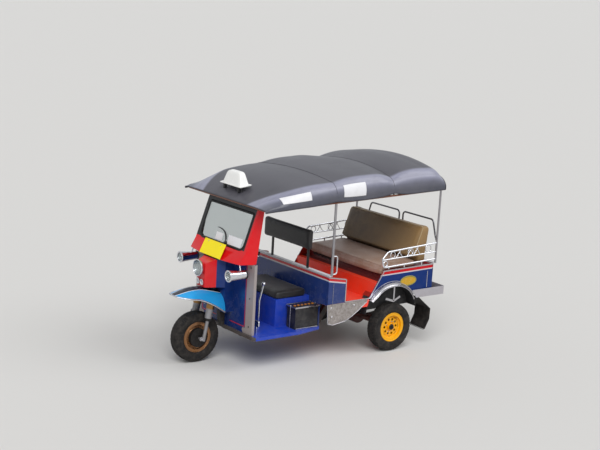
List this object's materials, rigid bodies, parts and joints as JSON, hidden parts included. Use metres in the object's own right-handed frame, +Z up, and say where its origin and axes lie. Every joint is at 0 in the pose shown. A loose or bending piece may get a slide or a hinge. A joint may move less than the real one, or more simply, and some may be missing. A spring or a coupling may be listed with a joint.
{
  "type": "auto rickshaw",
  "caption": "Open-sided passenger auto rickshaw with a steered front wheel, a driven rear axle, a padded bench and a vinyl roof on a tube frame.",
  "frame": {"origin": "on the ground, under the middle of the overall box", "axes": "+X forward, +Y to the vehicle's left, +Z up"},
  "size_m": [2.94, 1.4138, 1.9417],
  "materials": {
    "frame_black": "satin",
    "engine_grey": "rough",
    "body_blue": "gloss",
    "deck_orange": "gloss",
    "trim_steel": "polished",
    "tread_plate": "mill",
    "bumper_grey": "satin",
    "flap_rubber": "matt",
    "tail_red": "gloss",
    "cowl_red": "gloss",
    "bright_chrome": "mirror",
    "lens_glass": "clear",
    "screen_glass": "clear",
    "guard_blue": "metallic",
    "plate_yellow": "satin",
    "driver_vinyl": "grained",
    "battery_black": "moulded",
    "roof_tube": "satin",
    "post_silver": "satin",
    "roof_vinyl": "coated cloth",
    "sign_white": "gloss",
    "bench_vinyl": "grained",
    "fork_steel": "brushed",
    "bar_black": "gloss",
    "front_rim_bronze": "metallic",
    "rear_rim_yellow": "gloss",
    "tyre": "matt"
  },
  "bodies": {
    "body": {"chassis_frame": "frame_black", "rear_axle": "frame_black", "exhaust": "frame_black", "engine_block": "engine_grey", "driver_floor": "body_blue", "side_panel_left": "body_blue", "side_panel_right": "body_blue", "rear_panel": "body_blue", "leg_shield": "body_blue", "partition_panel": "body_blue", "passenger_floor": "deck_orange", "seat_riser": "deck_orange", "arch_trims": "trim_steel", "sill_skirts": "tread_plate", "shield_edge_trims": "tread_plate", "rear_bumper": "bumper_grey", "mud_flaps": "flap_rubber", "tail_lamps": "tail_red", "nose_cowl": "cowl_red", "windscreen_surround": "cowl_red", "front_lamps": "bright_chrome", "side_rails": "bright_chrome", "rear_rails": "bright_chrome", "driver_controls": "bright_chrome", "lamp_lenses": "lens_glass", "windscreen_glass": "screen_glass", "front_mudguard": "guard_blue", "front_plate": "plate_yellow", "driver_cushion": "driver_vinyl", "driver_backrest": "driver_vinyl", "battery": "battery_black", "roof_frame": "roof_tube", "roof_posts": "post_silver", "roof_canopy": "roof_vinyl", "roof_sign": "sign_white", "bench_cushion": "bench_vinyl", "bench_backrest": "bench_vinyl"},
    "steering": {"fork": "fork_steel", "handlebar": "bar_black"},
    "front_wheel": {"front_rim": "front_rim_bronze", "front_tyre": "tyre"},
    "rear_wheel_left": {"rear_left_rim": "rear_rim_yellow", "rear_left_tyre": "tyre"},
    "rear_wheel_right": {"rear_right_rim": "rear_rim_yellow", "rear_right_tyre": "tyre"}
  },
  "joints": [
    {"name": "steering", "type": "hinge", "parent": "body", "child": "steering", "pos_m": [1.1, 0, 0.6], "axis": [-0.1908, 0, 0.9816], "range_deg": [-35, 35]},
    {"name": "front_wheel_spin", "type": "hinge", "parent": "steering", "child": "front_wheel", "pos_m": [1.2, 0, 0.252], "axis": [0, 1, 0], "continuous": true},
    {"name": "rear_left_wheel_spin", "type": "hinge", "parent": "body", "child": "rear_wheel_left", "pos_m": [-0.8, 0.595, 0.252], "axis": [0, 1, 0], "continuous": true},
    {"name": "rear_right_wheel_spin", "type": "hinge", "parent": "body", "child": "rear_wheel_right", "pos_m": [-0.8, -0.595, 0.252], "axis": [0, 1, 0], "continuous": true}
  ]
}
